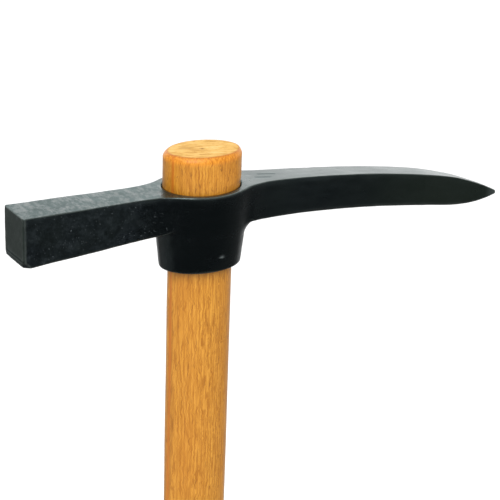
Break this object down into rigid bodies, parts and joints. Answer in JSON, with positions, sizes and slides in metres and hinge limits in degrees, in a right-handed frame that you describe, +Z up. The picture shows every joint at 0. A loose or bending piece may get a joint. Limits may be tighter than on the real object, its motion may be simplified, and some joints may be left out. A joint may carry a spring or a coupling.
{
  "type": "rock hammer",
  "caption": "Rock hammer with a square poll and arched pick on one forged head, wedged by its tapered oval eye on a drop-through wooden handle.",
  "frame": {"origin": "centre of the handle's butt, the lower end of the handle", "axes": "+Z up the handle towards the head, +X towards the pick, -X towards the striking face, Y across the head"},
  "size_m": [0.2924, 0.0382, 0.38],
  "materials": {
    "head": "satin black coating over forged steel",
    "handle": "clear varnish over straight-grained hardwood"
  },
  "bodies": {
    "handle": {"handle": "handle"},
    "head": {"head": "head"}
  },
  "joints": [
    {"name": "head_slide", "type": "slide", "parent": "handle", "child": "head", "axis": [0, 0, -1], "range_m": [0, 0.319]}
  ]
}
